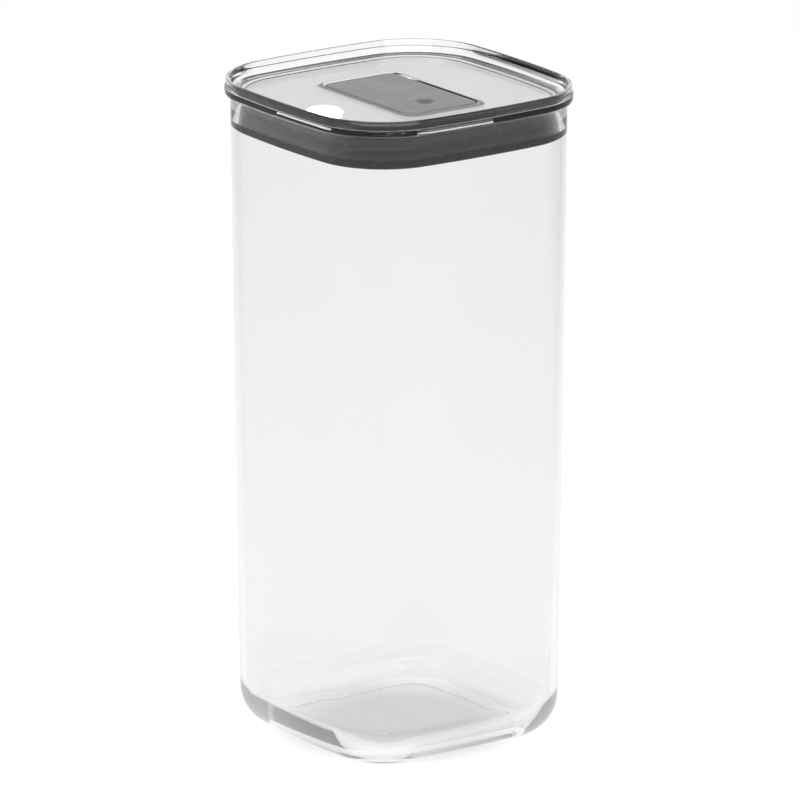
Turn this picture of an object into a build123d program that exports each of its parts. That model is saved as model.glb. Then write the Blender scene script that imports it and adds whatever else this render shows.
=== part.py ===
"""Tall square glass canister with a clear push-lever lid.

Frame: +Z up, origin at the centre of the base on the surface that it stands on,
-Y is the side of the lid where the thumb dimple is. Millimetres throughout.
"""

import os
from math import atan, cos, degrees, radians, sin, sqrt, tan

from build123d import *

# ---- driving dimensions -------------------------------------------------------------
overall_height = 235.0
lid_width = 105.0
side_radius = 362.0  # bow of the four sides of the lid
corner_radius = 29.3  # plan radius of the lid's corners

# jar
flange_overhang = 2.0  # how far the lid stands out past the glass
flange_height = 6.0  # height of the lid's rim above the glass
base_half = 47.75  # half width of the jar at the base, before its edge is rounded
glass_wall = 2.2
base_edge_radius = 14.0
inner_floor_height = 4.0
inner_floor_radius = 12.5
mouth_edge_radius = 0.7
foot_recess_depth = 0.8
foot_width = 3.0

# clear lid cover
tray_depth = 4.6
rim_wall = 1.1  # thickness of the rim at its top
tray_half = 47.8  # half width of the tray floor, where the sloping rim meets it
tray_radius = 0.8
cover_floor = 2.0
cover_step_half = 47.4
rim_edge_radius = 0.5
rim_inset = 0.5  # the rim's outer face steps in above the flange
flange_step = 3.0  # height of that step above the glass
flange_step_radius = 0.4
flange_edge_radius = 1.2
pad_outer_half = 51.0  # silicone pad between the flange and the glass
pad_inner_half = 47.5
pad_thickness = 0.8
pad_play = 0.05

# lever and its well
lever_width = 30.2
lever_length = 53.0
lever_middle_y = -1.0
lever_corner = 3.6
lever_plate = 2.2
lever_gap = 0.6
lever_sink = 0.1  # its top below the tray floor
lever_edge_radius = 0.5
lever_tilt = 24.0  # degrees, the rear end rises
dimple_y = -15.8
dimple_width = 9.0
dimple_depth = 0.9
well_wall = 1.0
well_side_room = 0.5
well_rear_room = 0.6
well_front_room = 1.4
well_floor_deep = 217.9
well_floor_shallow = 222.0
well_floor_wall = 1.3
well_step_y = 3.4
well_ledge = 1.5  # hooks under the panel at the two ends of the well
well_ledge_height = 1.2
well_ledge_inset = 14.4  # how much narrower the hooks are than the well

# pins
pin_diameter = 2.5
running_clearance = 0.05
pin_chamfer = 0.2
pivot_y = -4.0
pivot_drop = 6.2  # pivot axis below the tray floor
cross_pin_reach = 4.0  # from the pivot axis back to the cross pin
cross_pin_y = pivot_y + cross_pin_reach
cross_pin_play = 0.15
lug_inset = 11.0
lug_thickness = 3.0
lug_round = 3.2
lug_spread = 2.0  # how far the lugs widen towards the plate

# light panel under the cover
panel_half = 45.2
panel_gap = 0.2
panel_thickness = 2.5
panel_play = 0.05  # round the well
recess_half = 40.0  # sunken middle of the panel
recess_depth = 0.8
recess_ramp = 3.5  # width of the slope down into it
panel_edge_radius = 0.5
collar_thickness = 0.8  # light collar round the top of the well

# seal carrier, gasket and spreader
carrier_neck_half = 41.2
carrier_lip_half = 44.9
carrier_inner_half = 39.2
carrier_lip = 1.4
gasket_drop = 10.5  # top of the gasket below the top of the lid
gasket_top_lip = 0.8
gasket_shoulder = 1.8  # rounding of its upper outer edge
gasket_inner_half = 43.9
upstand_half = 46.0  # thin wall of the gasket round the edge of the panel
upstand_thickness = 0.7
upstand_gap = 0.1
lip_drop = 17.5  # lower edge of the gasket below the top of the lid
lip_gap = 0.3
gasket_foot_radius = 0.5
carrier_play = 0.1
carrier_chamfer = 0.4
spreader_half = 43.6
spreader_drop = 0.2  # its underside below the gasket's
spreader_plate = 1.6
spreader_chamfer = 0.6
spreader_rim = 2.4
spreader_rim_width = 2.8
spreader_gap = 0.4
saddle_width = 7.0
saddle_thickness = 3.0
saddle_open = 0.2
saddle_room = 1.0  # between the well and the saddles
cross_pin_inset = 0.3

# ---- worked out from them -----------------------------------------------------------
lid_half = lid_width / 2
jar_height = overall_height - flange_height
jar_top_half = lid_half - flange_overhang
draft_angle = degrees(atan((jar_top_half - base_half) / jar_height))
rim_half = lid_half - rim_inset
tray_floor_z = overall_height - tray_depth
rim_slope = degrees(atan((rim_half - rim_wall - tray_half) / tray_depth))
cover_under_z = tray_floor_z - cover_floor
panel_top_z = cover_under_z - panel_gap
panel_under_z = panel_top_z - panel_thickness
lever_top_z = tray_floor_z - lever_sink
lever_under_z = lever_top_z - lever_plate
opening_width = lever_width + 2 * lever_gap
opening_length = lever_length + 2 * lever_gap
well_inner_width = lever_width + 2 * well_side_room
well_front_y = lever_middle_y - lever_length / 2 - well_front_room
well_rear_y = lever_middle_y + lever_length / 2 + well_rear_room
pivot_z = tray_floor_z - pivot_drop
spreader_travel = cross_pin_reach * tan(radians(lever_tilt))
cross_pin_z = pivot_z - spreader_travel
gasket_top_z = overall_height - gasket_drop
carrier_top_z = gasket_top_z - gasket_top_lip
carrier_under_z = carrier_top_z - carrier_lip
lip_z = overall_height - lip_drop
lip_half = base_half + lip_z * tan(radians(draft_angle)) - glass_wall - lip_gap
saddle_x = well_inner_width / 2 + well_wall + saddle_room
cross_pin_half = saddle_x + saddle_thickness - cross_pin_inset


def outline_half(half_width):
    """Bowed square with round corners, drawn parallel to the outline of the lid."""
    side = side_radius - (lid_half - half_width)
    corner = corner_radius - (lid_half - half_width)
    side_centre = half_width - side
    corner_centre = (side_centre + sqrt(2 * (side - corner) ** 2 - side_centre**2)) / 2
    turn = degrees(atan(corner_centre / (corner_centre - side_centre)))

    def on_side(angle):
        return (side_centre + side * cos(radians(angle)), side * sin(radians(angle)))

    def on_corner(angle):
        return (
            corner_centre + corner * cos(radians(angle)),
            corner_centre + corner * sin(radians(angle)),
        )

    with BuildLine() as outline:
        for quarter in range(4):
            points = [on_side(-turn), on_side(0), on_side(turn), on_corner(45), on_corner(90 - turn)]
            start, middle, end, bend, last = [
                Vector(*point).rotate(Axis.Z, 90 * quarter) for point in points
            ]
            ThreePointArc(start, middle, end)
            ThreePointArc(end, bend, last)
    make_face(outline.edges())


os.makedirs("parts", exist_ok=True)

# ---- jar ----------------------------------------------------------------------------
cavity_floor_half = base_half - glass_wall + inner_floor_height * tan(radians(draft_angle))
with BuildPart() as cavity:
    with BuildSketch(Plane.XY.offset(inner_floor_height)):
        outline_half(cavity_floor_half)
    extrude(amount=jar_height - inner_floor_height, taper=-draft_angle)
    fillet(cavity.faces().sort_by(Axis.Z)[0].edges(), radius=inner_floor_radius)

with BuildPart() as jar:
    with BuildSketch():
        outline_half(base_half)
    extrude(amount=jar_height, taper=-draft_angle)
    fillet(jar.faces().sort_by(Axis.Z)[0].edges(), radius=base_edge_radius)
    add(cavity.part, mode=Mode.SUBTRACT)
    fillet(jar.faces().sort_by(Axis.Z)[-1].edges(), radius=mouth_edge_radius)
    with BuildSketch():
        outline_half(base_half - base_edge_radius - foot_width)
    extrude(amount=foot_recess_depth, mode=Mode.SUBTRACT)
jar.part.label = "jar"
export_step(jar.part, "parts/jar.step")

# ---- clear lid cover: shallow tray with an upstanding rim ----------------------------
with BuildPart() as tray_hollow:
    with BuildSketch(Plane.XY.offset(tray_floor_z)):
        outline_half(tray_half)
    extrude(amount=tray_depth, taper=-rim_slope)
    fillet(tray_hollow.faces().sort_by(Axis.Z)[0].edges(), radius=tray_radius)

with BuildPart() as lid_cover:
    with BuildSketch(Plane.XY.offset(jar_height)):
        outline_half(lid_half)
    extrude(amount=flange_step)
    fillet(lid_cover.faces().sort_by(Axis.Z)[0].edges(), radius=flange_edge_radius)
    fillet(lid_cover.faces().sort_by(Axis.Z)[-1].edges(), radius=flange_step_radius)
    with BuildSketch(Plane.XY.offset(jar_height + flange_step)):
        outline_half(rim_half)
    extrude(amount=flange_height - flange_step)
    with BuildSketch(Plane.XY.offset(jar_height)):
        outline_half(pad_outer_half + pad_play)
    extrude(amount=pad_thickness, mode=Mode.SUBTRACT)
    with BuildSketch(Plane.XY.offset(cover_under_z)):
        outline_half(cover_step_half)
    extrude(amount=jar_height + pad_thickness - cover_under_z)
    add(tray_hollow.part, mode=Mode.SUBTRACT)
    fillet(lid_cover.faces().sort_by(Axis.Z)[-1].edges(), radius=rim_edge_radius)
    with BuildSketch(Plane.XY.offset(cover_under_z)):
        with Locations((0, lever_middle_y)):
            RectangleRounded(opening_width, opening_length, lever_corner + lever_gap)
    extrude(amount=cover_floor, mode=Mode.SUBTRACT)
lid_cover.part.label = "lid_cover"
export_step(lid_cover.part, "parts/lid_cover.step")

# ---- rim pad: flat silicone ring let into the flange, resting on the glass ------------
with BuildPart() as rim_pad:
    with BuildSketch(Plane.XY.offset(jar_height)):
        outline_half(pad_outer_half)
    extrude(amount=pad_thickness)
    with BuildSketch(Plane.XY.offset(jar_height)):
        outline_half(pad_inner_half)
    extrude(amount=pad_thickness, mode=Mode.SUBTRACT)
rim_pad.part.label = "rim_pad"
export_step(rim_pad.part, "parts/rim_pad.step")

# ---- panel: light plate under the cover, sunken in the middle, open for the well -------
well_length = well_rear_y - well_front_y
well_middle_y = (well_rear_y + well_front_y) / 2
deep_length = well_step_y - well_front_y
deep_middle_y = (well_step_y + well_front_y) / 2
well_deep_under_z = well_floor_deep - well_floor_wall
well_shallow_under_z = well_floor_shallow - well_floor_wall
well_outer_width = well_inner_width + 2 * well_wall
well_outer_length = well_length + 2 * well_wall
recess_floor_z = panel_top_z - recess_depth
with BuildPart() as recess:
    with BuildSketch(Plane.XY.offset(recess_floor_z)):
        outline_half(recess_half - recess_ramp)
    with BuildSketch(Plane.XY.offset(panel_top_z)):
        outline_half(recess_half)
    loft()

with BuildPart() as panel:
    with BuildSketch(Plane.XY.offset(panel_under_z)):
        outline_half(panel_half)
    extrude(amount=panel_thickness)
    fillet(panel.faces().sort_by(Axis.Z)[-1].edges(), radius=panel_edge_radius)
    add(recess.part, mode=Mode.SUBTRACT)
    with BuildSketch(Plane.XY.offset(recess_floor_z)):
        with Locations((0, well_middle_y)):
            RectangleRounded(
                well_outer_width + 2 * (panel_play + collar_thickness),
                well_outer_length + 2 * (panel_play + collar_thickness),
                lever_corner + well_wall + panel_play + collar_thickness,
            )
    extrude(amount=cover_under_z - recess_floor_z)
    with BuildSketch(Plane.XY.offset(panel_under_z)):
        with Locations((0, well_middle_y)):
            RectangleRounded(
                well_outer_width + 2 * panel_play,
                well_outer_length + 2 * panel_play,
                lever_corner + well_wall + panel_play,
            )
    extrude(amount=cover_under_z - panel_under_z, mode=Mode.SUBTRACT)
panel.part.label = "panel"
export_step(panel.part, "parts/panel.step")

# ---- lever well: dark box under the lever, from the cover down, hooked under the panel -
with BuildPart() as lever_well:
    with BuildSketch(Plane.XY.offset(well_shallow_under_z)):
        with Locations((0, well_middle_y)):
            RectangleRounded(well_outer_width, well_outer_length, lever_corner + well_wall)
    extrude(amount=cover_under_z - well_shallow_under_z)
    with BuildSketch(Plane.XY.offset(well_deep_under_z)):
        with Locations((0, deep_middle_y)):
            RectangleRounded(well_outer_width, deep_length + 2 * well_wall, lever_corner + well_wall)
    extrude(amount=well_floor_shallow - well_deep_under_z)
    with BuildSketch(Plane.XY.offset(panel_under_z - well_ledge_height)):
        with Locations((0, well_middle_y)):
            Rectangle(well_outer_width - well_ledge_inset, well_outer_length + 2 * well_ledge)
    extrude(amount=well_ledge_height)
    with BuildSketch(Plane.XY.offset(well_floor_shallow)):
        with Locations((0, well_middle_y)):
            RectangleRounded(well_inner_width, well_length, lever_corner)
    extrude(amount=cover_under_z - well_floor_shallow, mode=Mode.SUBTRACT)
    with BuildSketch(Plane.XY.offset(well_floor_deep)):
        with Locations((0, deep_middle_y)):
            RectangleRounded(well_inner_width, deep_length, lever_corner)
    extrude(amount=well_floor_shallow - well_floor_deep, mode=Mode.SUBTRACT)
    with BuildSketch(Plane.YZ):
        with Locations((pivot_y, pivot_z)):
            Circle(pin_diameter / 2)
        with Locations((cross_pin_y, cross_pin_z + spreader_travel / 2)):
            SlotCenterToCenter(
                spreader_travel + 2 * cross_pin_play, pin_diameter + 2 * cross_pin_play, rotation=90
            )
    extrude(amount=well_outer_width / 2, both=True, mode=Mode.SUBTRACT)
lever_well.part.label = "lever_well"
export_step(lever_well.part, "parts/lever_well.step")

# ---- seal carrier: ring that hangs under the panel and holds the gasket ---------------
with BuildPart() as seal_carrier:
    with BuildSketch(Plane.XY.offset(carrier_under_z)):
        outline_half(carrier_lip_half)
    extrude(amount=carrier_lip)
    with BuildSketch(Plane.XY.offset(carrier_top_z)):
        outline_half(carrier_neck_half)
    extrude(amount=panel_under_z - carrier_top_z)
    with BuildSketch(Plane.XY.offset(carrier_under_z)):
        outline_half(carrier_inner_half)
    extrude(amount=panel_under_z - carrier_under_z, mode=Mode.SUBTRACT)
    chamfer(seal_carrier.faces().sort_by(Axis.Z)[0].outer_wire().edges(), length=carrier_chamfer)
seal_carrier.part.label = "seal_carrier"
export_step(seal_carrier.part, "parts/seal_carrier.step")

# ---- gasket: upright skirt round the inside of the glass, grooved on to the carrier ----
with BuildPart() as gasket:
    with BuildSketch(Plane.XY.offset(lip_z)):
        outline_half(lip_half)
    extrude(amount=gasket_top_z - lip_z)
    fillet(gasket.faces().sort_by(Axis.Z)[-1].edges(), radius=gasket_shoulder)
    fillet(gasket.faces().sort_by(Axis.Z)[0].edges(), radius=gasket_foot_radius)
    with BuildSketch(Plane.XY.offset(lip_z)):
        outline_half(gasket_inner_half)
    extrude(amount=carrier_under_z - lip_z, mode=Mode.SUBTRACT)
    with BuildSketch(Plane.XY.offset(carrier_under_z)):
        outline_half(carrier_lip_half + carrier_play)
    extrude(amount=carrier_lip, mode=Mode.SUBTRACT)
    with BuildSketch(Plane.XY.offset(carrier_top_z)):
        outline_half(carrier_neck_half + carrier_play)
    extrude(amount=gasket_top_lip, mode=Mode.SUBTRACT)
    with BuildSketch(Plane.XY.offset(gasket_top_z)):
        outline_half(upstand_half)
    extrude(amount=cover_under_z - upstand_gap - gasket_top_z)
    with BuildSketch(Plane.XY.offset(gasket_top_z)):
        outline_half(upstand_half - upstand_thickness)
    extrude(amount=cover_under_z - gasket_top_z, mode=Mode.SUBTRACT)
gasket.part.label = "silicone_gasket"
export_step(gasket.part, "parts/silicone_gasket.step")

# ---- lever: flush plate with a thumb dimple, on two lugs ------------------------------
dimple_ball = (dimple_width**2 / 4 + dimple_depth**2) / (2 * dimple_depth)
slot_angle = degrees(atan(spreader_travel / cross_pin_reach))
slot_far = sqrt(cross_pin_reach**2 + spreader_travel**2)
slot_middle = (cross_pin_reach + slot_far) / 2
with BuildPart() as lever:
    with BuildSketch(Plane.XY.offset(lever_under_z)):
        with Locations((0, lever_middle_y)):
            RectangleRounded(lever_width, lever_length, lever_corner)
    extrude(amount=lever_plate)
    fillet(lever.faces().sort_by(Axis.Z)[-1].edges(), radius=lever_edge_radius)
    with Locations((0, dimple_y, lever_top_z - dimple_depth + dimple_ball)):
        Sphere(dimple_ball, mode=Mode.SUBTRACT)
    for side in (-1, 1):
        with BuildSketch(Plane.YZ.offset(side * lug_inset - lug_thickness / 2)) as lug:
            with BuildLine():
                Polyline(
                    (pivot_y - lug_round, pivot_z),
                    (pivot_y - lug_round - lug_spread, lever_under_z),
                    (cross_pin_y + lug_round + lug_spread, lever_under_z),
                    (cross_pin_y + lug_round, cross_pin_z),
                    (cross_pin_y, cross_pin_z - lug_round),
                    (pivot_y - lug_round, pivot_z),
                )
            make_face()
            with Locations((pivot_y, pivot_z), (cross_pin_y, cross_pin_z)):
                Circle(lug_round)
            with Locations((pivot_y, pivot_z)):
                Circle(pin_diameter / 2 + running_clearance, mode=Mode.SUBTRACT)
            slot_y = pivot_y + slot_middle * cos(radians(slot_angle))
            slot_z = pivot_z - slot_middle * sin(radians(slot_angle))
            with Locations((slot_y, slot_z)):
                SlotCenterToCenter(
                    slot_far - cross_pin_reach + cross_pin_play,
                    pin_diameter + 2 * cross_pin_play,
                    rotation=-slot_angle,
                    mode=Mode.SUBTRACT,
                )
        extrude(amount=lug_thickness)
lever.part.label = "lever"
export_step(lever.part, "parts/lever.step")

# ---- pivot pin: fixed across the well, the lever turns on it --------------------------
with BuildPart() as pivot_pin:
    with BuildSketch(Plane.YZ):
        with Locations((pivot_y, pivot_z)):
            Circle(pin_diameter / 2)
    extrude(amount=well_outer_width / 2, both=True)
    chamfer(pivot_pin.edges().filter_by(GeomType.CIRCLE), length=pin_chamfer)
pivot_pin.part.label = "pivot_pin"
export_step(pivot_pin.part, "parts/pivot_pin.step")

# ---- cross pin: carried by the spreader, lifted by the lugs of the lever --------------
with BuildPart() as cross_pin:
    with BuildSketch(Plane.YZ):
        with Locations((cross_pin_y, cross_pin_z)):
            Circle(pin_diameter / 2)
    extrude(amount=cross_pin_half, both=True)
    chamfer(cross_pin.edges().filter_by(GeomType.CIRCLE), length=pin_chamfer)
cross_pin.part.label = "cross_pin"
export_step(cross_pin.part, "parts/cross_pin.step")

# ---- spreader: ring round the well that presses the gasket's lip outwards -------------
spreader_under_z = lip_z - spreader_drop
with BuildPart() as spreader:
    with BuildSketch(Plane.XY.offset(spreader_under_z)):
        outline_half(spreader_half)
    extrude(amount=spreader_rim)
    chamfer(spreader.faces().sort_by(Axis.Z)[-1].edges(), length=spreader_chamfer)
    with BuildSketch(Plane.XY.offset(spreader_under_z + spreader_plate)):
        outline_half(spreader_half - spreader_rim_width)
    extrude(amount=spreader_rim, mode=Mode.SUBTRACT)
    for side in (-1, 1):
        with BuildSketch(Plane.YZ.offset(side * (saddle_x + saddle_thickness / 2) - saddle_thickness / 2)):
            with Locations((cross_pin_y, spreader_under_z + spreader_plate)):
                Rectangle(
                    saddle_width,
                    cross_pin_z + pin_diameter / 2 - saddle_open - spreader_under_z - spreader_plate,
                    align=(Align.CENTER, Align.MIN),
                )
            with Locations((cross_pin_y, cross_pin_z)):
                Circle(pin_diameter / 2, mode=Mode.SUBTRACT)
        extrude(amount=saddle_thickness)
    with BuildSketch(Plane.XY.offset(spreader_under_z)):
        with Locations((0, well_middle_y)):
            RectangleRounded(
                well_outer_width + 2 * spreader_gap,
                well_outer_length + 2 * spreader_gap,
                lever_corner + well_wall + spreader_gap,
            )
    extrude(amount=spreader_rim, mode=Mode.SUBTRACT)
spreader.part.label = "spreader"
export_step(spreader.part, "parts/spreader.step")
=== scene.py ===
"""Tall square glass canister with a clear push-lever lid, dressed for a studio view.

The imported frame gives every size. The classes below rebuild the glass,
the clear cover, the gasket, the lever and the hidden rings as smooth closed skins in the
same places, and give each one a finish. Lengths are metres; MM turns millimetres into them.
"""

from __future__ import annotations

import logging
import math
from collections.abc import Callable, Sequence
from dataclasses import dataclass, field
from enum import Enum
from typing import Any

import bmesh
import bpy
from mathutils import Euler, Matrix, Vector

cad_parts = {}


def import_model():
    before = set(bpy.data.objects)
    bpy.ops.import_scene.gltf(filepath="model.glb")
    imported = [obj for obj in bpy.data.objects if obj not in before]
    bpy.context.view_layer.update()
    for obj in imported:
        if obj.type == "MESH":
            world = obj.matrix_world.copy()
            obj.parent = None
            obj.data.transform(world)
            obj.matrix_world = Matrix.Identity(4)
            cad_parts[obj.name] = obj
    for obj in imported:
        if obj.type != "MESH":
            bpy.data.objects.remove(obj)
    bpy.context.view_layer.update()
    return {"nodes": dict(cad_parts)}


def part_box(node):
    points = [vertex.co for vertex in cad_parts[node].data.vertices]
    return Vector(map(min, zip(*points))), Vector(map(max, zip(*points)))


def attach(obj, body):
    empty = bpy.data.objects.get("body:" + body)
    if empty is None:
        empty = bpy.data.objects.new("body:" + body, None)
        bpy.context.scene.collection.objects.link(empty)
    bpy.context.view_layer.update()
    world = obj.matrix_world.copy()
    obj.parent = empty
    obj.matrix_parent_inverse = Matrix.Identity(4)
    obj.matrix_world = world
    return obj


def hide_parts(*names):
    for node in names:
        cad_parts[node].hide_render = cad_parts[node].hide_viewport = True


MM = 0.001
SIDE_STEPS = 10
CORNER_STEPS = 22
QUARTER_STEPS = 2 * SIDE_STEPS + CORNER_STEPS
RING_STEPS = 4 * QUARTER_STEPS

log = logging.getLogger("canister")


class Body(Enum):
    """The rigid bodies that pieces ride on."""

    JAR = "jar"
    LID = "lid"
    LEVER = "lever"
    SPREADER = "spreader"


class Slot(Enum):
    """The record's material slots."""

    GLASS = "clear_glass"
    CLEAR = "clear_plastic"
    LIGHT = "light_plastic"
    DARK = "dark_plastic"
    SILICONE = "dark_silicone"
    GREY = "grey_plastic"
    STEEL = "pin_steel"


class Closing(Enum):
    """How the first and last ring of a skin are closed."""

    CAPS = "caps"
    LOOP = "loop"


# ---- shader graph helpers -----------------------------------------------------------------


class Level:
    """A number on a shader socket, with arithmetic that adds Math nodes."""

    def __init__(self, graph: Graph, socket: bpy.types.NodeSocket) -> None:
        """Wraps an output socket of a graph."""
        self.graph = graph
        self.socket = socket

    def _math(self, operation: str, first: Any, second: Any) -> Level:
        """Adds one Math node.

        Args:
            operation: The Math node's operation.
            first: Its first value or socket.
            second: Its second value or socket.

        Returns:
            The node's output.
        """
        node = self.graph.node("ShaderNodeMath", {"operation": operation}, {0: first, 1: second})
        return Level(self.graph, node.outputs[0])

    def __add__(self, other: Any) -> Level:
        """Sum."""
        return self._math("ADD", self, other)

    def __radd__(self, other: Any) -> Level:
        """Sum, number first."""
        return self._math("ADD", other, self)

    def __sub__(self, other: Any) -> Level:
        """Difference."""
        return self._math("SUBTRACT", self, other)

    def __rsub__(self, other: Any) -> Level:
        """Difference, number first."""
        return self._math("SUBTRACT", other, self)

    def __mul__(self, other: Any) -> Level:
        """Product."""
        return self._math("MULTIPLY", self, other)

    def __rmul__(self, other: Any) -> Level:
        """Product, number first."""
        return self._math("MULTIPLY", other, self)


class Graph:
    """A node tree that is filled one node at a time."""

    def __init__(self, tree: bpy.types.NodeTree) -> None:
        """Empties a node tree."""
        self.tree = tree
        self.tree.nodes.clear()

    def node(self, kind: str, settings: dict[str, Any], sockets: dict[Any, Any]) -> bpy.types.Node:
        """Adds a node.

        Args:
            kind: The node's type name.
            settings: Its properties, set before its sockets.
            sockets: Values, sockets or levels for its inputs, by name or index.

        Returns:
            The new node.
        """
        node = self.tree.nodes.new(kind)
        for key, value in settings.items():
            setattr(node, key, value)
        for key, value in sockets.items():
            source = value.socket if isinstance(value, Level) else value
            if isinstance(source, bpy.types.NodeSocket):
                self.tree.links.new(source, node.inputs[key])
            else:
                node.inputs[key].default_value = source
        return node

    def band(self, value: Level, low: float, high: float, start: float = 0.0, end: float = 1.0) -> Level:
        """Maps a value's stretch from low to high on to start to end, clamped."""
        sockets = {"Value": value, "From Min": low, "From Max": high, "To Min": start, "To Max": end}
        return Level(self, self.node("ShaderNodeMapRange", {"clamp": True}, sockets).outputs[0])

    def along(self, where: bpy.types.NodeSocket, azimuth: float) -> tuple[Level, Level, Level]:
        """Splits a place or direction along a view.

        Args:
            where: The vector.
            azimuth: The view's azimuth, in degrees.

        Returns:
            Its parts to the right of the view, away along it, and up.
        """
        turned = self.node(
            "ShaderNodeVectorRotate",
            {"rotation_type": "Z_AXIS"},
            {"Vector": where, "Angle": math.radians(-azimuth)},
        )
        parts = self.node("ShaderNodeSeparateXYZ", {}, {"Vector": turned.outputs[0]}).outputs
        return Level(self, parts["X"]), Level(self, parts["Y"]), Level(self, parts["Z"])


class Recipe(Graph):
    """One material's node tree, with its Principled shader."""

    def __init__(self, name: str) -> None:
        """Makes an empty material with a Principled shader on its output."""
        self.material = bpy.data.materials.new(name)
        self.material.use_nodes = True
        super().__init__(self.material.node_tree)
        self.shader = self.node("ShaderNodeBsdfPrincipled", {}, {})
        self.output = self.node("ShaderNodeOutputMaterial", {}, {"Surface": self.shader.outputs[0]})
        coords = self.node("ShaderNodeTexCoord", {}, {})
        self.place = coords.outputs["Object"]

    def constants(self, values: dict[str, Any]) -> None:
        """Sets fixed values on the shader's own sockets."""
        for key, value in values.items():
            self.shader.inputs[key].default_value = value

    def feed(self, socket: str, source: Any) -> None:
        """Links a value that changes over the surface to one of the shader's sockets."""
        output = source.socket if isinstance(source, Level) else source
        self.tree.links.new(output, self.shader.inputs[socket])

    def pass_lamplight(self, tint: Sequence[float], turns: float) -> None:
        """Lets the lamps shine through a clear material, dimmed only by its tint.

        Args:
            tint: The share of each colour that gets through.
            turns: Light that has been turned more often than this goes straight on too,
                so that what is caught in a thick wall gets out; 0 leaves it caught.
        """
        rays = self.node("ShaderNodeLightPath", {}, {})
        straight = Level(self, rays.outputs["Is Shadow Ray"])
        if turns:
            depth = Level(self, rays.outputs["Ray Depth"])
            straight = straight + self.band(depth, turns - 0.5, turns + 0.5)
        open_air = self.node("ShaderNodeBsdfTransparent", {}, {"Color": (*tint, 1.0)})
        mix = self.node(
            "ShaderNodeMixShader",
            {},
            {0: straight, 1: self.shader.outputs[0], 2: open_air.outputs[0]},
        )
        self.tree.links.new(mix.outputs[0], self.output.inputs["Surface"])

    def stretched(self, scale: Sequence[float]) -> bpy.types.NodeSocket:
        """Object coordinates scaled by different amounts along the three axes."""
        node = self.node("ShaderNodeMapping", {}, {"Vector": self.place, "Scale": tuple(scale)})
        return node.outputs[0]

    def noise(self, scale: float, detail: float = 3.0, where: Any = None, rough: float = 0.5) -> Level:
        """Fractal noise in object space.

        Args:
            scale: Features per metre.
            detail: Octaves.
            where: Coordinates, if not the object's own.
            rough: How much of the fine octaves shows.

        Returns:
            A value between 0 and 1.
        """
        sockets = {"Vector": where or self.place, "Scale": scale, "Detail": detail, "Roughness": rough}
        return Level(self, self.node("ShaderNodeTexNoise", {}, sockets).outputs["Fac"])

    def blend(self, amount: Level, low: Sequence[float], high: Sequence[float]) -> bpy.types.NodeSocket:
        """A colour between two, by an amount from 0 to 1."""
        node = self.node(
            "ShaderNodeMix",
            {"data_type": "RGBA"},
            {"Factor": amount, 6: (*low, 1.0), 7: (*high, 1.0)},
        )
        return node.outputs[2]

    def relief(self, height: Level, strength: float, depth: float) -> None:
        """Feeds the shader's normal from a height, in metres of depth."""
        node = self.node(
            "ShaderNodeBump", {}, {"Strength": strength, "Distance": depth, "Height": height}
        )
        self.feed("Normal", node.outputs[0])


# ---- finishes -----------------------------------------------------------------------------


@dataclass(frozen=True)
class ClearFinish:
    """Clear polished glass or plastic, faintly smudged."""

    name: str
    index: float
    tint: tuple[float, float, float]
    polish: float = 0.0
    smudge: float = 0.03
    ripple_depth: float = 0.00001
    ripples: float = 18.0
    passed: float = 0.96
    turns: float = 0.0

    def material(self) -> bpy.types.Material:
        """Makes the finish's material."""
        recipe = Recipe(self.name)
        recipe.constants(
            {"Base Color": (*self.tint, 1.0), "Transmission Weight": 1.0, "IOR": self.index}
        )
        wiped = recipe.band(recipe.noise(38.0, 4.0), 0.5, 0.78)
        recipe.feed("Roughness", self.polish + wiped * self.smudge)
        recipe.relief(recipe.noise(self.ripples, 1.0), 0.25, self.ripple_depth)
        recipe.pass_lamplight([part * self.passed for part in self.tint], self.turns)
        return recipe.material


@dataclass(frozen=True)
class SatinFinish:
    """Opaque moulded plastic with a fine spark-eroded grain."""

    name: str
    colour: tuple[float, float, float]
    roughness: float = 0.42
    grain: float = 2600.0
    grain_depth: float = 0.00003
    variation: float = 0.05

    def material(self) -> bpy.types.Material:
        """Makes the finish's material."""
        recipe = Recipe(self.name)
        recipe.constants({"IOR": 1.5})
        cloud = recipe.band(recipe.noise(55.0, 4.0), 0.3, 0.7)
        low = [c * (1 - self.variation) for c in self.colour]
        high = [c * (1 + self.variation) for c in self.colour]
        recipe.feed("Base Color", recipe.blend(cloud, low, high))
        grain = recipe.noise(self.grain, 2.0)
        rubbed = recipe.band(recipe.noise(90.0, 5.0), 0.45, 0.75)
        recipe.feed("Roughness", self.roughness - rubbed * 0.08 + grain * 0.06)
        recipe.relief(grain, 0.35, self.grain_depth)
        return recipe.material


@dataclass(frozen=True)
class SiliconeFinish:
    """Dark moulded silicone with a faint dusty bloom."""

    name: str
    colour: tuple[float, float, float]
    bloom: tuple[float, float, float]
    roughness: float = 0.16

    def material(self) -> bpy.types.Material:
        """Makes the finish's material."""
        recipe = Recipe(self.name)
        recipe.constants({"IOR": 1.42, "Sheen Weight": 0.08, "Sheen Roughness": 0.5})
        dust = recipe.band(recipe.noise(420.0, 6.0, rough=0.65), 0.56, 0.8)
        recipe.feed("Base Color", recipe.blend(dust, self.colour, self.bloom))
        patch = recipe.noise(60.0, 3.0)
        recipe.feed("Roughness", self.roughness + dust * 0.2 + patch * 0.1)
        recipe.relief(recipe.noise(4200.0, 2.0), 0.25, 0.000003)
        return recipe.material


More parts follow.
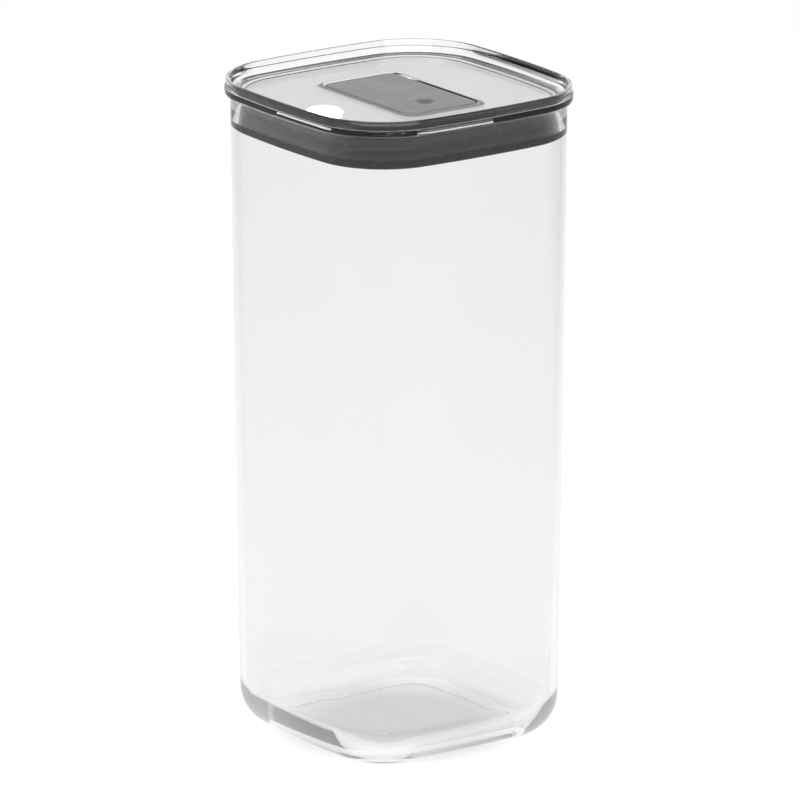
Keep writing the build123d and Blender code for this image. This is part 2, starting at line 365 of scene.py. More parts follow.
@dataclass(frozen=True)
class SteelFinish:
    """Drawn stainless wire, streaked along its length."""

    name: str
    colour: tuple[float, float, float]

    def material(self) -> bpy.types.Material:
        """Makes the finish's material."""
        recipe = Recipe(self.name)
        recipe.constants({"Metallic": 1.0})
        streak = recipe.noise(1.0, 4.0, recipe.stretched((60.0, 5200.0, 5200.0)))
        recipe.feed("Base Color", recipe.blend(streak, [c * 0.8 for c in self.colour], self.colour))
        recipe.feed("Roughness", 0.2 + streak * 0.25)
        recipe.relief(streak, 0.2, 0.00002)
        return recipe.material


class Finishes:
    """The materials, each made once."""

    def __init__(self) -> None:
        """Makes every finish of the canister."""
        self.made: dict[Slot, bpy.types.Material] = {
            Slot.GLASS: ClearFinish("jar_glass", 1.5, (0.938, 0.94, 0.94), turns=6.0).material(),
            Slot.CLEAR: ClearFinish("cover_clear", 1.49, (0.97, 0.972, 0.972), ripples=30.0).material(),
            Slot.LIGHT: SatinFinish("panel_light_grey", (0.6, 0.6, 0.6), roughness=0.38).material(),
            Slot.GREY: SatinFinish("lever_mid_grey", (0.2, 0.2, 0.2), roughness=0.3).material(),
            # Also on the well box, where its darkness is partly painted shade in the gap round the lever.
            Slot.DARK: SatinFinish("carrier_dark", (0.03, 0.03, 0.031), roughness=0.35).material(),
            Slot.SILICONE: SiliconeFinish(
                "gasket_silicone", (0.018, 0.018, 0.019), (0.05, 0.05, 0.051)
            ).material(),
            Slot.STEEL: SteelFinish("pin_drawn_steel", (0.62, 0.61, 0.6)).material(),
        }

    def dress(self, piece: bpy.types.Object, slot: Slot) -> None:
        """Gives a piece the finish of a slot, in place of what it has."""
        piece.data.materials.clear()
        piece.data.materials.append(self.made[slot])

    def recoat(self, node: bpy.types.Object, slot: Slot) -> None:
        """Gives a CAD node's material slots the finish of a slot."""
        for holder in node.material_slots:
            holder.material = self.made[slot]


# ---- outlines and skins -------------------------------------------------------------------


@dataclass(frozen=True)
class Outline:
    """A closed plan curve with two planes of symmetry, walked in RING_STEPS steps."""

    middle_y: float = 0.0

    def quarter(self, step: float) -> tuple[float, float]:
        """The point a number of steps from +X towards +Y, in the first quarter."""
        raise NotImplementedError

    def point(self, step: int) -> tuple[float, float]:
        """The curve's point at a step.

        Args:
            step: Steps from the middle of the +X side, counter-clockwise.

        Returns:
            Its x and y.
        """
        quarter, part = divmod(step % RING_STEPS, QUARTER_STEPS)
        backwards = quarter % 2 == 1
        x, y = self.quarter(QUARTER_STEPS - part if backwards else part)
        across = -1 if quarter in (1, 2) else 1
        along = -1 if quarter in (2, 3) else 1
        return across * x, self.middle_y + along * y


@dataclass(frozen=True)
class BowedSquare(Outline):
    """The canister's own outline: four bowed sides joined by round corners."""

    half: float = 0.05
    side: float = 0.36
    corner: float = 0.03

    def quarter(self, step: float) -> tuple[float, float]:
        """The point a number of steps from +X towards +Y, in the first quarter."""
        back = self.half - self.side
        inner = (back + math.sqrt(2 * (self.side - self.corner) ** 2 - back**2)) / 2
        turn = math.atan2(inner, inner - back)
        if step <= SIDE_STEPS:
            angle = turn * step / SIDE_STEPS
            return back + self.side * math.cos(angle), self.side * math.sin(angle)
        if step >= QUARTER_STEPS - SIDE_STEPS:
            angle = turn * (QUARTER_STEPS - step) / SIDE_STEPS
            return self.side * math.sin(angle), back + self.side * math.cos(angle)
        angle = turn + (math.pi / 2 - 2 * turn) * (step - SIDE_STEPS) / CORNER_STEPS
        return inner + self.corner * math.cos(angle), inner + self.corner * math.sin(angle)


@dataclass(frozen=True)
class RoundedBox(Outline):
    """A rectangle with round corners."""

    half_width: float = 0.015
    half_length: float = 0.025
    corner: float = 0.003

    def quarter(self, step: float) -> tuple[float, float]:
        """The point a number of steps from +X towards +Y, in the first quarter."""
        inner_x = self.half_width - self.corner
        inner_y = self.half_length - self.corner
        if step <= SIDE_STEPS:
            return self.half_width, inner_y * step / SIDE_STEPS
        if step >= QUARTER_STEPS - SIDE_STEPS:
            return inner_x * (QUARTER_STEPS - step) / SIDE_STEPS, self.half_length
        angle = math.pi / 2 * (step - SIDE_STEPS) / CORNER_STEPS
        return inner_x + self.corner * math.cos(angle), inner_y + self.corner * math.sin(angle)


@dataclass(frozen=True)
class Disc(Outline):
    """A circle."""

    radius: float = 0.005

    def quarter(self, step: float) -> tuple[float, float]:
        """The point a number of steps from +X towards +Y, in the first quarter."""
        angle = math.pi / 2 * step / QUARTER_STEPS
        return self.radius * math.cos(angle), self.radius * math.sin(angle)


Station = tuple[Outline, float]


def bend(
    ring: Callable[[float], Outline],
    centre: tuple[float, float],
    radius: float,
    angles: tuple[float, float],
    steps: int,
) -> list[Station]:
    """Stations round an arc of a skin's section.

    Args:
        ring: Gives the outline at a half width.
        centre: The arc's centre, as half width and height.
        radius: The arc's radius.
        angles: Its first and last angle, in degrees from outwards.
        steps: How many steps it takes.

    Returns:
        The stations, both ends included.
    """
    first, last = (math.radians(angle) for angle in angles)
    stations = []
    for step in range(steps + 1):
        angle = first + (last - first) * step / steps
        half = centre[0] + radius * math.cos(angle)
        stations.append((ring(half), centre[1] + radius * math.sin(angle)))
    return stations


class Skin:
    """A closed surface made of rings with the same number of steps."""

    def __init__(self) -> None:
        """Starts an empty mesh."""
        self.mesh = bmesh.new()
        self.step = self.mesh.verts.layers.int.new("step")

    def _place(self, verts: Sequence[bmesh.types.BMVert], station: Station) -> None:
        """Moves a ring's vertices on to a station."""
        outline, height = station
        for vert in verts:
            vert.co = Vector((*outline.point(vert[self.step]), height))

    def run(self, stations: Sequence[Station], closing: Closing) -> Skin:
        """Adds a skin through stations.

        Args:
            stations: Outlines and heights, in order along the section.
            closing: Whether its ends are capped or meet.

        Returns:
            The skin itself.
        """
        made = bmesh.ops.create_circle(self.mesh, cap_ends=False, segments=RING_STEPS, radius=1.0)
        verts = made["verts"]
        for number, vert in enumerate(verts):
            vert[self.step] = number
        self._place(verts, stations[0])
        edges = list(dict.fromkeys(edge for vert in verts for edge in vert.link_edges))
        first = edges
        for station in stations[1:]:
            grown = bmesh.ops.extrude_edge_only(self.mesh, edges=edges)["geom"]
            self._place([part for part in grown if isinstance(part, bmesh.types.BMVert)], station)
            edges = [
                part for part in grown if isinstance(part, bmesh.types.BMEdge) and self._level(part)
            ]
        if closing is Closing.LOOP:
            bmesh.ops.bridge_loops(self.mesh, edges=first + edges)
        else:
            bmesh.ops.edgeloop_fill(self.mesh, edges=first)
            bmesh.ops.edgeloop_fill(self.mesh, edges=edges)
        return self

    def _level(self, edge: bmesh.types.BMEdge) -> bool:
        """Whether an edge runs along a ring rather than between rings."""
        return edge.verts[0][self.step] != edge.verts[1][self.step]

    def piece(self, name: str, sharp: float = 32.0) -> bpy.types.Object:
        """Finishes the mesh as an object.

        Args:
            name: The object's name.
            sharp: Edges that turn by more than this many degrees stay crisp.

        Returns:
            The new object, linked to the scene.
        """
        bmesh.ops.remove_doubles(self.mesh, verts=self.mesh.verts, dist=0.001 * MM)
        bmesh.ops.recalc_face_normals(self.mesh, faces=self.mesh.faces)
        self.mesh.verts.layers.int.remove(self.step)
        return finished(self.mesh, name, sharp)


def finished(mesh: bmesh.types.BMesh, name: str, sharp: float) -> bpy.types.Object:
    """Turns a bmesh into a smooth-shaded object.

    Args:
        mesh: The bmesh, which is freed.
        name: The object's name.
        sharp: Edges that turn by more than this many degrees stay crisp.

    Returns:
        The new object, linked to the scene.
    """
    data = bpy.data.meshes.new(name)
    mesh.to_mesh(data)
    mesh.free()
    data.shade_smooth()
    data.set_sharp_from_angle(angle=math.radians(sharp))
    piece = bpy.data.objects.new(name, data)
    bpy.context.scene.collection.objects.link(piece)
    return piece


def merged_copy(node: bpy.types.Object) -> bmesh.types.BMesh:
    """A copy of a CAD node's mesh with its loose triangles joined."""
    mesh = bmesh.new()
    mesh.from_mesh(node.data)
    bmesh.ops.remove_doubles(mesh, verts=mesh.verts, dist=0.001 * MM)
    bmesh.ops.dissolve_limit(
        mesh, angle_limit=math.radians(0.05), verts=mesh.verts, edges=mesh.edges, delimit={"NORMAL"}
    )
    return mesh


# ---- sub-assemblies -----------------------------------------------------------------------


@dataclass
class Family:
    """The canister's outline family: every outline runs parallel to the lid's."""

    lid_half: float
    side: float = 362.0 * MM
    corner: float = 29.3 * MM

    def ring(self, half: float) -> Outline:
        """The bowed square of a half width."""
        inset = self.lid_half - half
        return BowedSquare(half=half, side=self.side - inset, corner=max(self.corner - inset, 0.5 * MM))


@dataclass
class Jar:
    """The glass jar: one closed skin down the outside, round the mouth and up the inside."""

    family: Family
    height: float
    top_half: float
    base_half: float = 47.75 * MM
    wall: float = 2.2 * MM
    base_radius: float = 14.0 * MM
    floor_height: float = 4.0 * MM
    floor_radius: float = 12.5 * MM
    recess: float = 0.8 * MM
    foot: float = 3.0 * MM
    lip: float = 0.7 * MM
    wall_rings: int = 20

    def draft(self) -> float:
        """How much the half width grows with each metre of height."""
        return (self.top_half - self.base_half) / self.height

    def inside(self, height: float) -> float:
        """Half width of the inner wall at a height."""
        return self.base_half - self.wall + self.draft() * height

    def outer(self) -> list[Station]:
        """Stations from the recess under the base up to the mouth."""
        slope = self.draft()
        lean = math.degrees(math.atan(slope))
        grow = math.hypot(1.0, slope)
        ring = self.family.ring
        foot_outer = self.base_half - self.base_radius
        foot_inner = foot_outer - self.foot
        round_off = 0.35 * MM
        stations = [(ring(foot_inner * part), self.recess) for part in (0.2, 0.6, 0.9)]
        stations += [(ring(foot_inner - 0.1 * MM), self.recess), (ring(foot_inner), self.recess * 0.6)]
        stations += bend(ring, (foot_inner + round_off, round_off), round_off, (180, 270), 4)
        centre = self.base_half + slope * self.base_radius - self.base_radius * grow
        stations += bend(ring, (centre, self.base_radius), self.base_radius, (-90, -lean), 18)
        start = stations[-1][1]
        end = self.height - self.lip
        for step in range(1, self.wall_rings + 1):
            height = start + (end - start) * step / self.wall_rings
            stations.append((ring(self.base_half + slope * height), height))
        return stations

    def inner(self) -> list[Station]:
        """Stations from the mouth down to the middle of the jar's floor."""
        slope = self.draft()
        lean = math.degrees(math.atan(slope))
        ring = self.family.ring
        inside = self.base_half - self.wall
        end = self.height - self.lip
        low = self.floor_height + self.floor_radius
        stations = []
        for step in range(self.wall_rings + 1):
            height = end + (low - end) * step / self.wall_rings
            stations.append((ring(inside + slope * height), height))
        centre = inside + slope * low - self.floor_radius * math.hypot(1.0, slope)
        stations += bend(ring, (centre, low), self.floor_radius, (-lean, -90), 16)[1:]
        stations += [(ring(centre * part), self.floor_height) for part in (0.9, 0.6, 0.2)]
        return stations

    def mouth(self) -> list[Station]:
        """Stations over the polished rim of the mouth."""
        ring = self.family.ring
        outer = self.base_half + self.draft() * self.height
        outside = bend(ring, (outer - self.lip, self.height - self.lip), self.lip, (0, 90), 6)
        inside = bend(
            ring, (outer - self.wall + self.lip, self.height - self.lip), self.lip, (90, 180), 6
        )
        return outside[1:] + inside[:-1]

    def build(self, finishes: Finishes) -> bpy.types.Object:
        """Makes and dresses the jar.

        Args:
            finishes: The materials.

        Returns:
            The glass.
        """
        glass = Skin().run(self.outer() + self.mouth() + self.inner(), Closing.CAPS).piece("glass_jar")
        finishes.dress(glass, Slot.GLASS)
        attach(glass, Body.JAR.value)
        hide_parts("jar")
        return glass


@dataclass
class Cover:
    """The clear lid cover: a shallow tray with an upstanding rim and the lever's opening."""

    family: Family
    low: float
    high: float
    flange: float
    tray_depth: float = 4.6 * MM
    tray_half: float = 47.8 * MM
    rim_inset: float = 0.5 * MM
    flange_step: float = 3.0 * MM
    step_round: float = 0.4 * MM
    tray_round: float = 0.8 * MM
    rim_wall: float = 1.1 * MM
    pad_half: float = 51.05 * MM
    pad_height: float = 0.8 * MM
    rim_round: float = 0.5 * MM
    foot_round: float = 1.2 * MM
    step_half: float = 47.4 * MM
    opening: RoundedBox = field(
        default_factory=lambda: RoundedBox(
            middle_y=-1.0 * MM, half_width=15.7 * MM, half_length=27.1 * MM, corner=4.2 * MM
        )
    )

    def floor(self) -> float:
        """Height of the tray's floor."""
        return self.high - self.tray_depth

    def stations(self) -> list[Station]:
        """The section, from the opening's lower edge outwards, over the rim and back in."""
        ring = self.family.ring
        half = self.family.lid_half
        soft = 0.25 * MM
        floor = self.floor()
        groove = self.flange + self.pad_height
        crown = self.high - self.rim_round
        stations = [(self.opening, self.low)]
        stations += [(ring(part * self.step_half), self.low) for part in (0.75, 0.9)]
        stations += bend(ring, (self.step_half - soft, self.low + soft), soft, (-90, 0), 3)
        stations += [(ring(self.step_half), groove), (ring(self.pad_half), groove)]
        stations += [(ring(self.pad_half), self.flange)]
        stations += bend(
            ring, (half - self.foot_round, self.flange + self.foot_round), self.foot_round, (-90, 0), 8
        )
        shelf = self.flange + self.flange_step
        stations += bend(ring, (half - self.step_round, shelf - self.step_round), self.step_round, (0, 90), 5)
        rim = half - self.rim_inset
        stations += [(ring(rim), shelf + height) for height in (0.0, 0.1 * MM, 1.0 * MM, 2.0 * MM)]
        stations += bend(ring, (rim - self.rim_round, crown), self.rim_round, (0, 90), 6)
        inner = rim - self.rim_wall
        slope = math.degrees(math.atan2(self.high - floor, inner - self.tray_half))
        reach = self.rim_round * math.tan(math.radians(slope / 2))
        stations += bend(ring, (inner + reach, crown), self.rim_round, (90, 90 + slope), 5)
        foot = self.tray_round * math.tan(math.radians(slope / 2))
        stations += bend(
            ring, (self.tray_half - foot, floor + self.tray_round), self.tray_round, (slope - 90, -90), 6
        )
        stations += [(ring(part * self.step_half), floor) for part in (0.9, 0.75)]
        stations.append((self.opening, floor))
        return stations

    def build(self, finishes: Finishes) -> bpy.types.Object:
        """Makes and dresses the cover.

        Args:
            finishes: The materials.

        Returns:
            The clear cover.
        """
        cover = Skin().run(self.stations(), Closing.LOOP).piece("clear_cover")
        finishes.dress(cover, Slot.CLEAR)
        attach(cover, Body.LID.value)
        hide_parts("lid_cover")
        return cover


@dataclass
class RimPad:
    """The flat silicone ring let into the flange, which rests on the mouth of the glass."""

    family: Family
    low: float
    high: float
    half: float
    inner_half: float = 47.5 * MM
    soft: float = 0.2 * MM
    air: float = 0.05 * MM

    def stations(self) -> list[Station]:
        """The section, once round."""
        ring = self.family.ring
        soft = self.soft
        crown = self.high - self.air - soft
        stations = bend(ring, (self.inner_half + soft, self.low + soft), soft, (180, 270), 3)
        stations += bend(ring, (self.half - soft, self.low + soft), soft, (-90, 0), 3)
        stations += bend(ring, (self.half - soft, crown), soft, (0, 90), 3)
        stations += bend(ring, (self.inner_half + soft, crown), soft, (90, 180), 3)
        return stations

    def build(self, finishes: Finishes) -> bpy.types.Object:
        """Makes and dresses the pad.

        Args:
            finishes: The materials.

        Returns:
            The pad.
        """
        pad = Skin().run(self.stations(), Closing.LOOP).piece("flange_pad", sharp=50.0)
        finishes.dress(pad, Slot.SILICONE)
        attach(pad, Body.LID.value)
        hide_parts("rim_pad")
        return pad


@dataclass
class Gasket:
    """The dark silicone gasket: an upright skirt whose lower lip flares on to the glass."""

    family: Family
    jar: Jar
    low: float
    high: float
    press: float = 0.02 * MM
    relief_gap: float = 0.25 * MM
    inner_half: float = 43.9 * MM
    neck_half: float = 41.3 * MM
    groove_half: float = 45.0 * MM
    band_height: float = 2.7 * MM
    upstand: float = 3.8 * MM
    upstand_half: float = 46.0 * MM
    upstand_wall: float = 0.7 * MM
    top_lip: float = 0.8 * MM
    groove: float = 1.4 * MM
    soft: float = 0.5 * MM

    def stations(self) -> list[Station]:
        """The section, from the lip's inner edge round the outside and back up the inside."""
        ring = self.family.ring
        soft = self.soft
        band_top = self.low + self.band_height
        crown = self.high - self.upstand
        groove_top = crown - self.top_lip
        groove_low = groove_top - self.groove
        tip = self.jar.inside(self.low) + self.press
        body = self.jar.inside(band_top) - self.relief_gap
        stations = [(ring(self.inner_half), self.low)]
        stations += bend(ring, (tip - soft, self.low + soft), soft, (-90, 0), 5)
        stations += [(ring(self.jar.inside(band_top) + self.press), band_top)]
        stations += [(ring(body - 0.15 * MM), band_top + 0.12 * MM)]
        stations += [(ring(body - 0.15 * MM), band_top + 0.3 * MM), (ring(body), band_top + 0.45 * MM)]
        steps = 10
        foot = band_top + 0.5 * MM
        for step in range(steps + 1):
            angle = math.pi / 2 * step / steps
            half = self.upstand_half + (body - self.upstand_half) * math.cos(angle)
            stations.append((ring(half), foot + (crown - foot) * math.sin(angle)))
        inside = self.upstand_half - self.upstand_wall
        stations += [(ring(self.upstand_half), self.high - 0.2 * MM)]
        stations += [(ring(self.upstand_half - 0.2 * MM), self.high), (ring(inside + 0.2 * MM), self.high)]
        stations += [(ring(inside), self.high - 0.2 * MM), (ring(inside), crown)]
        stations += [(ring(self.neck_half), crown), (ring(self.neck_half), groove_top)]
        stations += [(ring(self.groove_half), groove_top), (ring(self.groove_half), groove_low)]
        stations += [(ring(self.inner_half), groove_low)]
        return stations

    def build(self, finishes: Finishes) -> bpy.types.Object:
        """Makes and dresses the gasket.

        Args:
            finishes: The materials.

        Returns:
            The gasket.
        """
        gasket = Skin().run(self.stations(), Closing.LOOP).piece("seal_gasket", sharp=50.0)
        finishes.dress(gasket, Slot.SILICONE)
        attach(gasket, Body.LID.value)
        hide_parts("silicone_gasket")
        return gasket


@dataclass
class Panel:
    """The light panel under the cover, sunken in the middle round the lever's well."""

    family: Family
    low: float
    high: float
    rim: float
    half: float
    edge: float = 0.5 * MM
    recess_half: float = 40.0 * MM
    recess_depth: float = 0.8 * MM
    recess_ramp: float = 3.5 * MM
    collar: float = 0.8 * MM
    opening: RoundedBox = field(
        default_factory=lambda: RoundedBox(
            middle_y=-1.4 * MM, half_width=16.65 * MM, half_length=28.55 * MM, corner=4.65 * MM
        )
    )

    def stations(self) -> list[Station]:
        """The section, from the opening's lower edge outwards, over the top and back in."""
        ring = self.family.ring
        soft = 0.3 * MM
        floor = self.rim - self.recess_depth
        stations = [(self.opening, self.low)]
        stations += [(ring(part * self.half), self.low) for part in (0.8, 0.9)]
        stations += bend(ring, (self.half - soft, self.low + soft), soft, (-90, 0), 3)
        stations += bend(ring, (self.half - self.edge, self.rim - self.edge), self.edge, (0, 90), 5)
        steps = 10
        for step in range(steps + 1):
            share = step / steps
            drop = self.recess_depth * (0.5 - 0.5 * math.cos(math.pi * share))
            stations.append((ring(self.recess_half - self.recess_ramp * share), self.rim - drop))
        stations += [(self._collar(self.collar + 0.5 * MM), floor), (self._collar(self.collar), floor)]
        stations += [(self._collar(self.collar), self.high - 0.1 * MM)]
        stations += [(self._collar(self.collar - 0.1 * MM), self.high), (self.opening, self.high)]
        return stations

    def _collar(self, out: float) -> Outline:
        """The opening's outline, moved outwards."""
        return RoundedBox(
            middle_y=self.opening.middle_y,
            half_width=self.opening.half_width + out,
            half_length=self.opening.half_length + out,
            corner=self.opening.corner + out,
        )

    def build(self, finishes: Finishes) -> bpy.types.Object:
        """Makes and dresses the panel.

        Args:
            finishes: The materials.

        Returns:
            The panel.
        """
        panel = Skin().run(self.stations(), Closing.LOOP).piece("light_panel")
        finishes.dress(panel, Slot.LIGHT)
        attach(panel, Body.LID.value)
        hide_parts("panel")
        return panel


@dataclass
class Lever:
    """The rocking lever: a flush plate with a thumb dimple, on two lugs."""

    half_width: float
    half_length: float
    middle_y: float
    top: float
    thickness: float = 2.2 * MM
    corner: float = 3.6 * MM
    edge: float = 0.5 * MM
    dimple_y: float = -15.8 * MM
    dimple_half: float = 4.5 * MM
    dimple_depth: float = 0.9 * MM

    def _box(self, inset: float) -> Outline:
        """The plate's outline, drawn in by an inset."""
        return RoundedBox(
            middle_y=self.middle_y,
            half_width=self.half_width - inset,
            half_length=self.half_length - inset,
            corner=self.corner - inset,
        )

    def _disc(self, radius: float) -> Outline:
        """A circle round the dimple's centre."""
        return Disc(middle_y=self.dimple_y, radius=radius)

    def stations(self) -> list[Station]:
        """The plate's section, from underneath round the edge and into the dimple."""
        under = self.top - self.thickness
        low_edge = 0.3 * MM
        stations = [(self._box(8 * MM), under), (self._box(low_edge), under)]
        stations += [(self._box(low_edge * 0.3), under + low_edge * 0.3), (self._box(0.0), under + low_edge)]
        for step in range(7):
            angle = math.pi / 2 * step / 6
            inset = self.edge * (1 - math.cos(angle))
            stations.append((self._box(inset), self.top - self.edge * (1 - math.sin(angle))))
        stations.append((self._box(self.edge + 0.4 * MM), self.top))
        stations.append((self._disc(self.dimple_half + 0.8 * MM), self.top))
        stations.append((self._disc(self.dimple_half + 0.35 * MM), self.top))
        rings = 9
        for step in range(rings + 1):
            share = 1 - step / (rings + 0.5)
            blend = 0.5 + 0.5 * math.cos(math.pi * share)
            stations.append(
                (self._disc(self.dimple_half * share + 0.02 * MM), self.top - self.dimple_depth * blend)
            )
        return stations

    def build(self, node: bpy.types.Object, finishes: Finishes) -> bpy.types.Object:
        """Makes and dresses the lever.

        Args:
            node: The lever's CAD node, whose lugs are kept.
            finishes: The materials.

        Returns:
            The lever.
        """
        plate = Skin().run(self.stations(), Closing.CAPS)
        bmesh.ops.recalc_face_normals(plate.mesh, faces=plate.mesh.faces)
        lugs = merged_copy(node)
        bmesh.ops.bisect_plane(
            lugs,
            geom=lugs.verts[:] + lugs.edges[:] + lugs.faces[:],
            plane_co=(0, 0, self.top - self.thickness - 0.01 * MM),
            plane_no=(0, 0, 1),
            clear_outer=True,
        )
        bmesh.ops.holes_fill(lugs, edges=lugs.edges, sides=0)
        spare = bpy.data.meshes.new("lugs")
        lugs.to_mesh(spare)
        lugs.free()
        plate.mesh.from_mesh(spare)
        bpy.data.meshes.remove(spare)
        lever = plate.piece("lever_plate")
        finishes.dress(lever, Slot.GREY)
        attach(lever, Body.LEVER.value)
        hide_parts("lever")
        return lever


@dataclass
class HiddenParts:
    """The moulded frame and rings under the cover, and the two pins."""

    nodes: dict[str, bpy.types.Object]

    def smooth(self, node: str, name: str, slot: Slot, body: Body, finishes: Finishes) -> None:
        """Stands a smooth-shaded copy of a CAD node in its place.

        Args:
            node: The CAD node.
            name: The new piece's name.
            slot: Its finish.
            body: What it rides on.
            finishes: The materials.
        """
        piece = finished(merged_copy(self.nodes[node]), name, 25.0)
        finishes.dress(piece, slot)
        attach(piece, body.value)
        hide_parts(node)
        log.info("%s: %d faces", name, len(piece.data.polygons))

    def build(self, finishes: Finishes) -> None:
        """Dresses every hidden part."""
        # Partly painted shade: the well box is dark plastic, and its darkness stands in for the shade in the
        # gap round the lever.
        self.smooth("lever_well", "well_box", Slot.DARK, Body.LID, finishes)
        self.smooth("seal_carrier", "gasket_carrier", Slot.DARK, Body.LID, finishes)
        self.smooth("spreader", "lip_spreader", Slot.DARK, Body.SPREADER, finishes)
        for pin in ("pivot_pin", "cross_pin"):
            finishes.recoat(self.nodes[pin], Slot.STEEL)


@dataclass(frozen=True)
class Glow:
    """How the floor's painted glow falls off from white to pale grey, in metres and shares of full light."""

    level: float = 1.0
    near: float = 0.15
    far: float = 0.75
    front: float = 0.25
    left: float = 0.7
    right: float = 0.6
    ahead: float = 0.62
    # under and shade: the painted shadow under the base, its darkest share and the radii over which it fades.
    under: float = 0.6
    front_fade: float = 0.5
    rear: tuple[float, float] = (-2.6, -1.5)
    shade: tuple[float, float] = (0.026, 0.046)


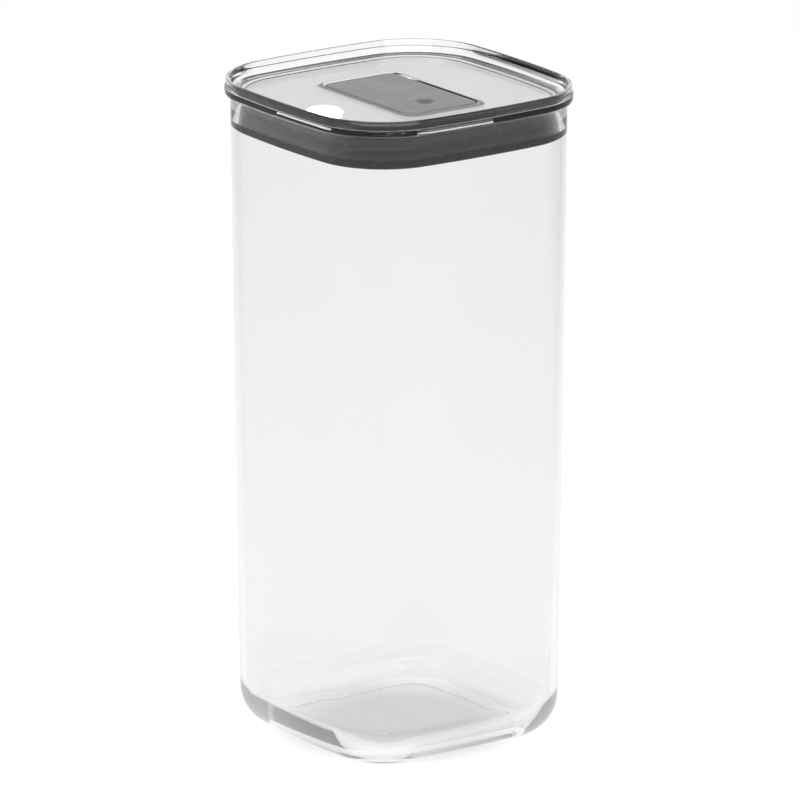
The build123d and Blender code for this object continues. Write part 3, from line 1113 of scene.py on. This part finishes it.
@dataclass
class Studio:
    """The pale floor, the soft lights, the surround and the camera."""

    aim: Vector
    azimuth: float = -35.5
    elevation: float = 16.04
    distance: float = 3.4128
    focal_share: float = 12.1825
    shift: tuple[float, float] = (0.00175, 0.0064)
    surround: float = 0.14
    backdrop: float = 1.0
    backdrop_start: tuple[float, float] = (0.25, 0.6)
    backdrop_top: tuple[float, float] = (0.32, 0.5)
    glint_spot: tuple[float, float, float] = (-0.037, -0.0076, 0.2304)
    glint_size: tuple[float, float] = (0.019, 0.007)
    glint_watts: float = 0.003
    glow: Glow = field(default_factory=Glow)

    def towards(self, azimuth: float, elevation: float) -> Vector:
        """Unit vector from the object towards a view given in degrees."""
        turn, rise = math.radians(azimuth), math.radians(elevation)
        flat = math.cos(rise)
        return Vector((math.sin(turn) * flat, -math.cos(turn) * flat, math.sin(rise)))

    def camera(self) -> None:
        """Places the camera."""
        data = bpy.data.cameras.new("camera")
        data.sensor_width = 36.0
        data.lens = self.focal_share * data.sensor_width
        data.shift_x, data.shift_y = self.shift
        data.clip_end = 50.0
        eye = bpy.data.objects.new("camera", data)
        eye.location = self.aim + self.towards(self.azimuth, self.elevation) * self.distance
        eye.rotation_euler = Euler(
            (math.radians(90 - self.elevation), 0.0, math.radians(self.azimuth)), "XYZ"
        )
        bpy.context.scene.collection.objects.link(eye)
        bpy.context.scene.camera = eye

    def softbox(self, name: str, azimuth: float, elevation: float, size: tuple[float, float],
                watts: float, distance: float = 1.3) -> None:
        """Hangs a rectangular light that faces the object.

        Args:
            name: Its name.
            azimuth: Where it hangs, in degrees.
            elevation: Its height, in degrees.
            size: Its width and height.
            watts: Its power.
            distance: How far off it hangs.
        """
        data = bpy.data.lights.new(name, "AREA")
        data.shape = "RECTANGLE"
        data.size, data.size_y = size
        data.energy = watts
        lamp = bpy.data.objects.new(name, data)
        away = self.towards(azimuth, elevation)
        lamp.location = self.aim + away * distance
        lamp.rotation_euler = away.to_track_quat("Z", "Y").to_euler()
        bpy.context.scene.collection.objects.link(lamp)

    def floor(self) -> None:
        """Lays the pale floor, an emissive slab with painted light: brightest round and behind the object,
        greyer in front and to the sides, with a painted shadow under the base.
        """
        mesh = bmesh.new()
        bmesh.ops.create_grid(mesh, x_segments=1, y_segments=1, size=14.0)
        slab = finished(mesh, "floor", 30.0)
        recipe = Recipe("floor_painted_glow")
        recipe.constants({"Base Color": (0.03, 0.03, 0.03, 1.0), "Roughness": 0.9})
        recipe.constants({"Specular IOR Level": 0.0, "Emission Strength": 1.0})
        across, away, _ = recipe.along(recipe.place, self.azimuth)
        nearer = -1.0 * away
        glow = self.glow
        # Painted light: the floor's own glow, not a lamp, falls off to grey to the left, right, front and far
        # back.
        left = recipe.band(across, -glow.far, -glow.near, glow.left, 1.0)
        right = recipe.band(across, glow.near, glow.far, 1.0, glow.right)
        front = recipe.band(nearer, glow.front, glow.front + glow.front_fade, 0.0, 1.0)
        back = recipe.band(nearer, *glow.rear, glow.left, 1.0)
        sides = left * right * back
        # Painted shadow: the glow is dimmed round the middle, under the base.
        level = (sides + (glow.ahead - sides) * front) * glow.level * self._shade(recipe)
        painted_light = recipe.node("ShaderNodeCombineColor", {}, {0: level, 1: level, 2: level})
        recipe.feed("Emission Color", painted_light.outputs[0])
        slab.data.materials.append(recipe.material)

    def _shade(self, recipe: Recipe) -> Level:
        """The soft shade of the base on the floor."""
        out = recipe.node("ShaderNodeVectorMath", {"operation": "LENGTH"}, {0: recipe.place})
        radius = Level(recipe, out.outputs["Value"])
        return recipe.band(radius, *self.glow.shade, self.glow.under, 1.0)

    def world(self) -> None:
        """Sets the grey surround, with a white backdrop low down behind the object."""
        world = bpy.data.worlds.new("surround")
        world.use_nodes = True
        sky = Graph(world.node_tree)
        coords = sky.node("ShaderNodeTexCoord", {}, {})
        _, away, rise = sky.along(coords.outputs["Generated"], self.azimuth)
        backdrop = sky.band(away, *self.backdrop_start) * sky.band(rise, *self.backdrop_top, 1.0, 0.0)
        strength = self.surround + backdrop * (self.backdrop - self.surround)
        shade = sky.node("ShaderNodeBackground", {}, {"Color": (1.0, 1.0, 1.0, 1.0), "Strength": strength})
        sky.node("ShaderNodeOutputWorld", {}, {"Surface": shade.outputs[0]})
        bpy.context.scene.world = world
        bpy.context.scene.view_settings.view_transform = "Standard"

    def glint(self, spot: Vector, reach: float = 1.5) -> None:
        """Hangs a small lamp that mirrors in the tray towards the camera.

        Args:
            spot: Where on the tray it mirrors.
            reach: How far off it hangs.
        """
        eye = self.aim + self.towards(self.azimuth, self.elevation) * self.distance
        ray = (spot - eye).normalized()
        data = bpy.data.lights.new("glint", "AREA")
        data.shape = "ELLIPSE"
        data.size, data.size_y = self.glint_size
        data.energy = self.glint_watts
        lamp = bpy.data.objects.new("glint", data)
        away = Vector((ray.x, ray.y, -ray.z))
        lamp.location = spot + away * reach
        lamp.rotation_euler = away.to_track_quat("Z", "Y").to_euler()
        bpy.context.scene.collection.objects.link(lamp)

    def build(self) -> None:
        """Sets up everything but the object."""
        self.camera()
        self.world()
        self.floor()
        self.glint(Vector(self.glint_spot))
        self.softbox("top_light", -20.0, 80.0, (1.2, 1.2), 11.0)
        self.softbox("left_light", -100.0, 35.0, (0.7, 1.0), 1.6)
        self.softbox("right_light", 60.0, 40.0, (0.6, 0.8), 1.2)


def main() -> None:
    """Builds the canister and its studio."""
    logging.basicConfig(level=logging.INFO, format="%(message)s")
    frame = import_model()
    lid_low, lid_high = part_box("lid_cover")
    _, jar_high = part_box("jar")
    seal_low, seal_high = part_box("silicone_gasket")
    pad_low, pad_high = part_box("rim_pad")
    panel_low, panel_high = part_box("panel")
    lever_low, lever_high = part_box("lever")
    Studio(aim=Vector((0.0, 0.0, lid_high.z / 2))).build()
    finishes = Finishes()
    family = Family(lid_half=lid_high.x)
    jar = Jar(family, height=jar_high.z, top_half=lid_high.x - 2.0 * MM)
    glass = jar.build(finishes)
    log.info("jar: %d faces", len(glass.data.polygons))
    cover = Cover(family, low=lid_low.z, high=lid_high.z, flange=jar_high.z).build(finishes)
    log.info("cover: %d faces", len(cover.data.polygons))
    panel = Panel(
        family,
        low=panel_low.z,
        high=panel_high.z,
        rim=panel_high.z - 0.2 * MM,
        half=panel_high.x,
    ).build(finishes)
    log.info("panel: %d faces", len(panel.data.polygons))
    pad = RimPad(family, low=pad_low.z, high=pad_high.z, half=pad_high.x).build(finishes)
    log.info("rim pad: %d faces", len(pad.data.polygons))
    gasket = Gasket(family, jar, low=seal_low.z, high=seal_high.z).build(finishes)
    log.info("gasket: %d faces", len(gasket.data.polygons))
    lever = Lever(
        half_width=lever_high.x,
        half_length=(lever_high.y - lever_low.y) / 2,
        middle_y=(lever_high.y + lever_low.y) / 2,
        top=lever_high.z,
    ).build(frame["nodes"]["lever"], finishes)
    log.info("lever: %d faces", len(lever.data.polygons))
    HiddenParts(frame["nodes"]).build(finishes)


if __name__ == "__main__":
    main()
